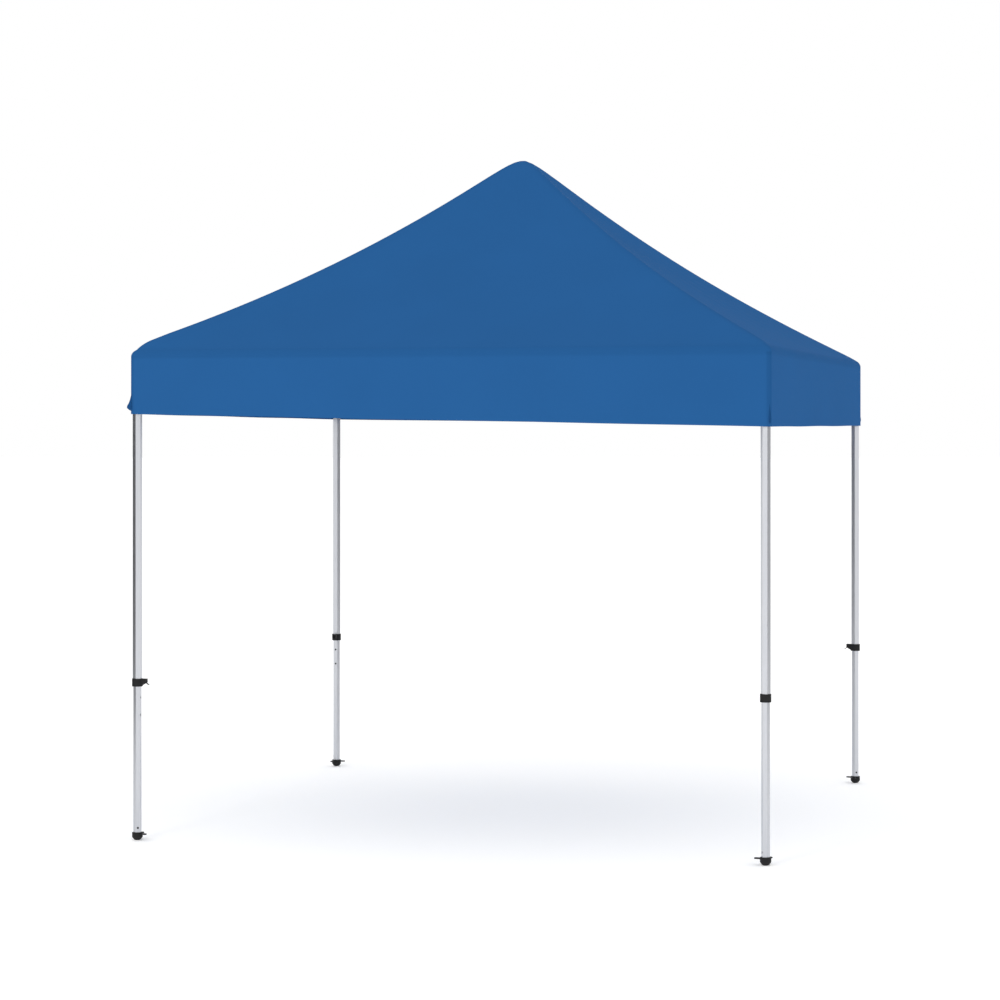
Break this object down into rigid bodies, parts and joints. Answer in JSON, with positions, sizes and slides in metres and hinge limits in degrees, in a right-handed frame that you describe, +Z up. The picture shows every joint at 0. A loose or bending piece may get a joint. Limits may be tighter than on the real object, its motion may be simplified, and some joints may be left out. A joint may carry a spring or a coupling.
{
  "type": "pop up canopy",
  "caption": "Square canopy with a blue hip roof and hanging valance on a folding scissor frame with telescoping aluminium legs.",
  "frame": {"origin": "on the floor under the middle of the canopy", "axes": "+Z up, -Y out of the front side, +X to the right seen from the front"},
  "size_m": [3, 3, 3.255],
  "materials": {
    "cover_fabric": "woven coated polyester",
    "leg_tube": "satin anodised",
    "truss_tube": "satin anodised",
    "black_nylon": "moulded",
    "steel_hardware": "zinc plated"
  },
  "bodies": {
    "cover_and_hub": {"canopy": "cover_fabric", "hub_upper": "black_nylon"},
    "hub_lower": {"hub_lower": "black_nylon", "mast": "leg_tube"},
    "hub_bar_upper_front": {"hub_bar_upper_front": "truss_tube"},
    "hub_bar_lower_front": {"hub_bar_lower_front": "truss_tube"},
    "mid_bracket_upper_front": {"mid_bracket_upper_front": "black_nylon"},
    "mid_bracket_lower_front": {"mid_bracket_lower_front": "black_nylon"},
    "slider_bar_front_right": {"slider_bar_front_right": "truss_tube"},
    "leg_bar_front_right": {"leg_bar_front_right": "truss_tube"},
    "slider_bar_front_left": {"slider_bar_front_left": "truss_tube"},
    "leg_bar_front_left": {"leg_bar_front_left": "truss_tube"},
    "hub_bar_upper_right": {"hub_bar_upper_right": "truss_tube"},
    "hub_bar_lower_right": {"hub_bar_lower_right": "truss_tube"},
    "mid_bracket_upper_right": {"mid_bracket_upper_right": "black_nylon"},
    "mid_bracket_lower_right": {"mid_bracket_lower_right": "black_nylon"},
    "slider_bar_right_right": {"slider_bar_right_right": "truss_tube"},
    "leg_bar_right_right": {"leg_bar_right_right": "truss_tube"},
    "slider_bar_right_left": {"slider_bar_right_left": "truss_tube"},
    "leg_bar_right_left": {"leg_bar_right_left": "truss_tube"},
    "hub_bar_upper_back": {"hub_bar_upper_back": "truss_tube"},
    "hub_bar_lower_back": {"hub_bar_lower_back": "truss_tube"},
    "mid_bracket_upper_back": {"mid_bracket_upper_back": "black_nylon"},
    "mid_bracket_lower_back": {"mid_bracket_lower_back": "black_nylon"},
    "slider_bar_back_right": {"slider_bar_back_right": "truss_tube"},
    "leg_bar_back_right": {"leg_bar_back_right": "truss_tube"},
    "slider_bar_back_left": {"slider_bar_back_left": "truss_tube"},
    "leg_bar_back_left": {"leg_bar_back_left": "truss_tube"},
    "hub_bar_upper_left": {"hub_bar_upper_left": "truss_tube"},
    "hub_bar_lower_left": {"hub_bar_lower_left": "truss_tube"},
    "mid_bracket_upper_left": {"mid_bracket_upper_left": "black_nylon"},
    "mid_bracket_lower_left": {"mid_bracket_lower_left": "black_nylon"},
    "slider_bar_left_right": {"slider_bar_left_right": "truss_tube"},
    "leg_bar_left_right": {"leg_bar_left_right": "truss_tube"},
    "slider_bar_left_left": {"slider_bar_left_left": "truss_tube"},
    "leg_bar_left_left": {"leg_bar_left_left": "truss_tube"},
    "outer_leg_front_right": {"outer_leg_front_right": "leg_tube", "leg_fittings_front_right": "black_nylon"},
    "slider_front_right": {"slider_front_right": "black_nylon"},
    "inner_leg_front_right": {"inner_leg_front_right": "leg_tube", "foot_front_right": "black_nylon"},
    "lock_lever_front_right": {"lock_lever_front_right": "black_nylon"},
    "outer_leg_back_right": {"outer_leg_back_right": "leg_tube", "leg_fittings_back_right": "black_nylon"},
    "slider_back_right": {"slider_back_right": "black_nylon"},
    "inner_leg_back_right": {"inner_leg_back_right": "leg_tube", "foot_back_right": "black_nylon"},
    "lock_lever_back_right": {"lock_lever_back_right": "black_nylon"},
    "outer_leg_back_left": {"outer_leg_back_left": "leg_tube", "leg_fittings_back_left": "black_nylon"},
    "slider_back_left": {"slider_back_left": "black_nylon"},
    "inner_leg_back_left": {"inner_leg_back_left": "leg_tube", "foot_back_left": "black_nylon"},
    "lock_lever_back_left": {"lock_lever_back_left": "black_nylon"},
    "outer_leg_front_left": {"outer_leg_front_left": "leg_tube", "leg_fittings_front_left": "black_nylon"},
    "slider_front_left": {"slider_front_left": "black_nylon"},
    "inner_leg_front_left": {"inner_leg_front_left": "leg_tube", "foot_front_left": "black_nylon"},
    "lock_lever_front_left": {"lock_lever_front_left": "black_nylon"}
  },
  "joints": [
    {"name": "fold", "type": "hinge", "parent": "cover_and_hub", "child": "hub_bar_upper_front", "pos_m": [0.007, -0.05, 2.222], "axis": [1, 0, 0], "range_deg": [0, 75]},
    {"name": "hub_bar_lower_front_cross", "type": "hinge", "parent": "hub_bar_upper_front", "child": "hub_bar_lower_front", "pos_m": [0, -0.736, 2.1145], "axis": [1, 0, 0], "range_deg": [-150, 0]},
    {"name": "mid_bracket_upper_front_pivot", "type": "hinge", "parent": "hub_bar_lower_front", "child": "mid_bracket_upper_front", "pos_m": [-0.007, -1.422, 2.222], "axis": [1, 0, 0], "range_deg": [0, 75]},
    {"name": "mid_bracket_lower_front_pivot", "type": "hinge", "parent": "hub_bar_upper_front", "child": "mid_bracket_lower_front", "pos_m": [0.007, -1.422, 2.007], "axis": [1, 0, 0], "range_deg": [-75, 0]},
    {"name": "hub_lower_pivot", "type": "hinge", "parent": "hub_bar_lower_front", "child": "hub_lower", "pos_m": [-0.007, -0.05, 2.007], "axis": [1, 0, 0], "range_deg": [0, 75]},
    {"name": "slider_bar_front_right_pivot", "type": "hinge", "parent": "mid_bracket_upper_front", "child": "slider_bar_front_right", "pos_m": [0.05, -1.479, 2.222], "axis": [0, 1, 0], "range_deg": [0, 75]},
    {"name": "leg_bar_front_right_cross", "type": "hinge", "parent": "slider_bar_front_right", "child": "leg_bar_front_right", "pos_m": [0.736, -1.472, 2.1145], "axis": [0, 1, 0], "range_deg": [-150, 0]},
    {"name": "slider_bar_front_left_pivot", "type": "hinge", "parent": "mid_bracket_upper_front", "child": "slider_bar_front_left", "pos_m": [-0.05, -1.479, 2.222], "axis": [0, 1, 0], "range_deg": [-75, 0]},
    {"name": "leg_bar_front_left_cross", "type": "hinge", "parent": "slider_bar_front_left", "child": "leg_bar_front_left", "pos_m": [-0.736, -1.472, 2.1145], "axis": [0, 1, 0], "range_deg": [0, 150]},
    {"name": "hub_bar_upper_right_pivot", "type": "hinge", "parent": "cover_and_hub", "child": "hub_bar_upper_right", "pos_m": [0.05, 0.007, 2.222], "axis": [0, 1, 0], "range_deg": [0, 75]},
    {"name": "hub_bar_lower_right_cross", "type": "hinge", "parent": "hub_bar_upper_right", "child": "hub_bar_lower_right", "pos_m": [0.736, 0, 2.1145], "axis": [0, 1, 0], "range_deg": [-150, 0]},
    {"name": "mid_bracket_upper_right_pivot", "type": "hinge", "parent": "hub_bar_lower_right", "child": "mid_bracket_upper_right", "pos_m": [1.422, -0.007, 2.222], "axis": [0, 1, 0], "range_deg": [0, 75]},
    {"name": "mid_bracket_lower_right_pivot", "type": "hinge", "parent": "hub_bar_upper_right", "child": "mid_bracket_lower_right", "pos_m": [1.422, 0.007, 2.007], "axis": [0, 1, 0], "range_deg": [-75, 0]},
    {"name": "slider_bar_right_right_pivot", "type": "hinge", "parent": "mid_bracket_upper_right", "child": "slider_bar_right_right", "pos_m": [1.479, 0.05, 2.222], "axis": [-1, 0, 0], "range_deg": [0, 75]},
    {"name": "leg_bar_right_right_cross", "type": "hinge", "parent": "slider_bar_right_right", "child": "leg_bar_right_right", "pos_m": [1.472, 0.736, 2.1145], "axis": [-1, 0, 0], "range_deg": [-150, 0]},
    {"name": "slider_bar_right_left_pivot", "type": "hinge", "parent": "mid_bracket_upper_right", "child": "slider_bar_right_left", "pos_m": [1.479, -0.05, 2.222], "axis": [-1, 0, 0], "range_deg": [-75, 0]},
    {"name": "leg_bar_right_left_cross", "type": "hinge", "parent": "slider_bar_right_left", "child": "leg_bar_right_left", "pos_m": [1.472, -0.736, 2.1145], "axis": [-1, 0, 0], "range_deg": [0, 150]},
    {"name": "hub_bar_upper_back_pivot", "type": "hinge", "parent": "cover_and_hub", "child": "hub_bar_upper_back", "pos_m": [-0.007, 0.05, 2.222], "axis": [-1, 0, 0], "range_deg": [0, 75]},
    {"name": "hub_bar_lower_back_cross", "type": "hinge", "parent": "hub_bar_upper_back", "child": "hub_bar_lower_back", "pos_m": [0, 0.736, 2.1145], "axis": [-1, 0, 0], "range_deg": [-150, 0]},
    {"name": "mid_bracket_upper_back_pivot", "type": "hinge", "parent": "hub_bar_lower_back", "child": "mid_bracket_upper_back", "pos_m": [0.007, 1.422, 2.222], "axis": [-1, 0, 0], "range_deg": [0, 75]},
    {"name": "mid_bracket_lower_back_pivot", "type": "hinge", "parent": "hub_bar_upper_back", "child": "mid_bracket_lower_back", "pos_m": [-0.007, 1.422, 2.007], "axis": [-1, 0, 0], "range_deg": [-75, 0]},
    {"name": "slider_bar_back_right_pivot", "type": "hinge", "parent": "mid_bracket_upper_back", "child": "slider_bar_back_right", "pos_m": [-0.05, 1.479, 2.222], "axis": [0, -1, 0], "range_deg": [0, 75]},
    {"name": "leg_bar_back_right_cross", "type": "hinge", "parent": "slider_bar_back_right", "child": "leg_bar_back_right", "pos_m": [-0.736, 1.472, 2.1145], "axis": [0, -1, 0], "range_deg": [-150, 0]},
    {"name": "slider_bar_back_left_pivot", "type": "hinge", "parent": "mid_bracket_upper_back", "child": "slider_bar_back_left", "pos_m": [0.05, 1.479, 2.222], "axis": [0, -1, 0], "range_deg": [-75, 0]},
    {"name": "leg_bar_back_left_cross", "type": "hinge", "parent": "slider_bar_back_left", "child": "leg_bar_back_left", "pos_m": [0.736, 1.472, 2.1145], "axis": [0, -1, 0], "range_deg": [0, 150]},
    {"name": "hub_bar_upper_left_pivot", "type": "hinge", "parent": "cover_and_hub", "child": "hub_bar_upper_left", "pos_m": [-0.05, -0.007, 2.222], "axis": [0, -1, 0], "range_deg": [0, 75]},
    {"name": "hub_bar_lower_left_cross", "type": "hinge", "parent": "hub_bar_upper_left", "child": "hub_bar_lower_left", "pos_m": [-0.736, 0, 2.1145], "axis": [0, -1, 0], "range_deg": [-150, 0]},
    {"name": "mid_bracket_upper_left_pivot", "type": "hinge", "parent": "hub_bar_lower_left", "child": "mid_bracket_upper_left", "pos_m": [-1.422, 0.007, 2.222], "axis": [0, -1, 0], "range_deg": [0, 75]},
    {"name": "mid_bracket_lower_left_pivot", "type": "hinge", "parent": "hub_bar_upper_left", "child": "mid_bracket_lower_left", "pos_m": [-1.422, -0.007, 2.007], "axis": [0, -1, 0], "range_deg": [-75, 0]},
    {"name": "slider_bar_left_right_pivot", "type": "hinge", "parent": "mid_bracket_upper_left", "child": "slider_bar_left_right", "pos_m": [-1.479, -0.05, 2.222], "axis": [1, 0, 0], "range_deg": [0, 75]},
    {"name": "leg_bar_left_right_cross", "type": "hinge", "parent": "slider_bar_left_right", "child": "leg_bar_left_right", "pos_m": [-1.472, -0.736, 2.1145], "axis": [1, 0, 0], "range_deg": [-150, 0]},
    {"name": "slider_bar_left_left_pivot", "type": "hinge", "parent": "mid_bracket_upper_left", "child": "slider_bar_left_left", "pos_m": [-1.479, 0.05, 2.222], "axis": [1, 0, 0], "range_deg": [-75, 0]},
    {"name": "leg_bar_left_left_cross", "type": "hinge", "parent": "slider_bar_left_left", "child": "leg_bar_left_left", "pos_m": [-1.472, 0.736, 2.1145], "axis": [1, 0, 0], "range_deg": [0, 150]},
    {"name": "outer_leg_front_right_pivot", "type": "hinge", "parent": "leg_bar_front_right", "child": "outer_leg_front_right", "pos_m": [1.422, -1.465, 2.222], "axis": [0, 1, 0], "range_deg": [0, 75]},
    {"name": "slider_front_right_pivot", "type": "hinge", "parent": "slider_bar_front_right", "child": "slider_front_right", "pos_m": [1.422, -1.479, 2.007], "axis": [0, 1, 0], "range_deg": [-75, 0]},
    {"name": "leg_height_front_right", "type": "slide", "parent": "outer_leg_front_right", "child": "inner_leg_front_right", "axis": [0, 0, 1], "range_m": [0, 0.56]},
    {"name": "lever_press_front_right", "type": "hinge", "parent": "outer_leg_front_right", "child": "lock_lever_front_right", "pos_m": [1.472, -1.434, 0.7346], "axis": [-1, 0, 0], "range_deg": [0, 18], "stiffness_Nm_per_rad": 0.2, "springref_deg": -5.73},
    {"name": "outer_leg_back_right_pivot", "type": "hinge", "parent": "leg_bar_right_right", "child": "outer_leg_back_right", "pos_m": [1.465, 1.422, 2.222], "axis": [-1, 0, 0], "range_deg": [0, 75]},
    {"name": "slider_back_right_pivot", "type": "hinge", "parent": "slider_bar_right_right", "child": "slider_back_right", "pos_m": [1.479, 1.422, 2.007], "axis": [-1, 0, 0], "range_deg": [-75, 0]},
    {"name": "leg_height_back_right", "type": "slide", "parent": "outer_leg_back_right", "child": "inner_leg_back_right", "axis": [0, 0, 1], "range_m": [0, 0.56]},
    {"name": "lever_press_back_right", "type": "hinge", "parent": "outer_leg_back_right", "child": "lock_lever_back_right", "pos_m": [1.434, 1.472, 0.7346], "axis": [0, -1, 0], "range_deg": [0, 18], "stiffness_Nm_per_rad": 0.2, "springref_deg": -5.73},
    {"name": "outer_leg_back_left_pivot", "type": "hinge", "parent": "leg_bar_back_right", "child": "outer_leg_back_left", "pos_m": [-1.422, 1.465, 2.222], "axis": [0, -1, 0], "range_deg": [0, 75]},
    {"name": "slider_back_left_pivot", "type": "hinge", "parent": "slider_bar_back_right", "child": "slider_back_left", "pos_m": [-1.422, 1.479, 2.007], "axis": [0, -1, 0], "range_deg": [-75, 0]},
    {"name": "leg_height_back_left", "type": "slide", "parent": "outer_leg_back_left", "child": "inner_leg_back_left", "axis": [0, 0, 1], "range_m": [0, 0.56]},
    {"name": "lever_press_back_left", "type": "hinge", "parent": "outer_leg_back_left", "child": "lock_lever_back_left", "pos_m": [-1.472, 1.434, 0.7346], "axis": [1, 0, 0], "range_deg": [0, 18], "stiffness_Nm_per_rad": 0.2, "springref_deg": -5.73},
    {"name": "outer_leg_front_left_pivot", "type": "hinge", "parent": "leg_bar_left_right", "child": "outer_leg_front_left", "pos_m": [-1.465, -1.422, 2.222], "axis": [1, 0, 0], "range_deg": [0, 75]},
    {"name": "slider_front_left_pivot", "type": "hinge", "parent": "slider_bar_left_right", "child": "slider_front_left", "pos_m": [-1.479, -1.422, 2.007], "axis": [1, 0, 0], "range_deg": [-75, 0]},
    {"name": "leg_height_front_left", "type": "slide", "parent": "outer_leg_front_left", "child": "inner_leg_front_left", "axis": [0, 0, 1], "range_m": [0, 0.56]},
    {"name": "lever_press_front_left", "type": "hinge", "parent": "outer_leg_front_left", "child": "lock_lever_front_left", "pos_m": [-1.434, -1.472, 0.7346], "axis": [0, 1, 0], "range_deg": [0, 18], "stiffness_Nm_per_rad": 0.2, "springref_deg": -5.73}
  ],
  "couplings": [
    {"joint": "hub_bar_lower_front_cross", "follows": "fold", "ratio": -2},
    {"joint": "mid_bracket_upper_front_pivot", "follows": "fold", "ratio": 1},
    {"joint": "mid_bracket_lower_front_pivot", "follows": "fold", "ratio": -1},
    {"joint": "hub_lower_pivot", "follows": "fold", "ratio": 1},
    {"joint": "slider_bar_front_right_pivot", "follows": "fold", "ratio": 1},
    {"joint": "leg_bar_front_right_cross", "follows": "fold", "ratio": -2},
    {"joint": "slider_bar_front_left_pivot", "follows": "fold", "ratio": -1},
    {"joint": "leg_bar_front_left_cross", "follows": "fold", "ratio": 2},
    {"joint": "hub_bar_upper_right_pivot", "follows": "fold", "ratio": 1},
    {"joint": "hub_bar_lower_right_cross", "follows": "fold", "ratio": -2},
    {"joint": "mid_bracket_upper_right_pivot", "follows": "fold", "ratio": 1},
    {"joint": "mid_bracket_lower_right_pivot", "follows": "fold", "ratio": -1},
    {"joint": "slider_bar_right_right_pivot", "follows": "fold", "ratio": 1},
    {"joint": "leg_bar_right_right_cross", "follows": "fold", "ratio": -2},
    {"joint": "slider_bar_right_left_pivot", "follows": "fold", "ratio": -1},
    {"joint": "leg_bar_right_left_cross", "follows": "fold", "ratio": 2},
    {"joint": "hub_bar_upper_back_pivot", "follows": "fold", "ratio": 1},
    {"joint": "hub_bar_lower_back_cross", "follows": "fold", "ratio": -2},
    {"joint": "mid_bracket_upper_back_pivot", "follows": "fold", "ratio": 1},
    {"joint": "mid_bracket_lower_back_pivot", "follows": "fold", "ratio": -1},
    {"joint": "slider_bar_back_right_pivot", "follows": "fold", "ratio": 1},
    {"joint": "leg_bar_back_right_cross", "follows": "fold", "ratio": -2},
    {"joint": "slider_bar_back_left_pivot", "follows": "fold", "ratio": -1},
    {"joint": "leg_bar_back_left_cross", "follows": "fold", "ratio": 2},
    {"joint": "hub_bar_upper_left_pivot", "follows": "fold", "ratio": 1},
    {"joint": "hub_bar_lower_left_cross", "follows": "fold", "ratio": -2},
    {"joint": "mid_bracket_upper_left_pivot", "follows": "fold", "ratio": 1},
    {"joint": "mid_bracket_lower_left_pivot", "follows": "fold", "ratio": -1},
    {"joint": "slider_bar_left_right_pivot", "follows": "fold", "ratio": 1},
    {"joint": "leg_bar_left_right_cross", "follows": "fold", "ratio": -2},
    {"joint": "slider_bar_left_left_pivot", "follows": "fold", "ratio": -1},
    {"joint": "leg_bar_left_left_cross", "follows": "fold", "ratio": 2},
    {"joint": "outer_leg_front_right_pivot", "follows": "fold", "ratio": 1},
    {"joint": "slider_front_right_pivot", "follows": "fold", "ratio": -1},
    {"joint": "outer_leg_back_right_pivot", "follows": "fold", "ratio": 1},
    {"joint": "slider_back_right_pivot", "follows": "fold", "ratio": -1},
    {"joint": "outer_leg_back_left_pivot", "follows": "fold", "ratio": 1},
    {"joint": "slider_back_left_pivot", "follows": "fold", "ratio": -1},
    {"joint": "outer_leg_front_left_pivot", "follows": "fold", "ratio": 1},
    {"joint": "slider_front_left_pivot", "follows": "fold", "ratio": -1}
  ]
}
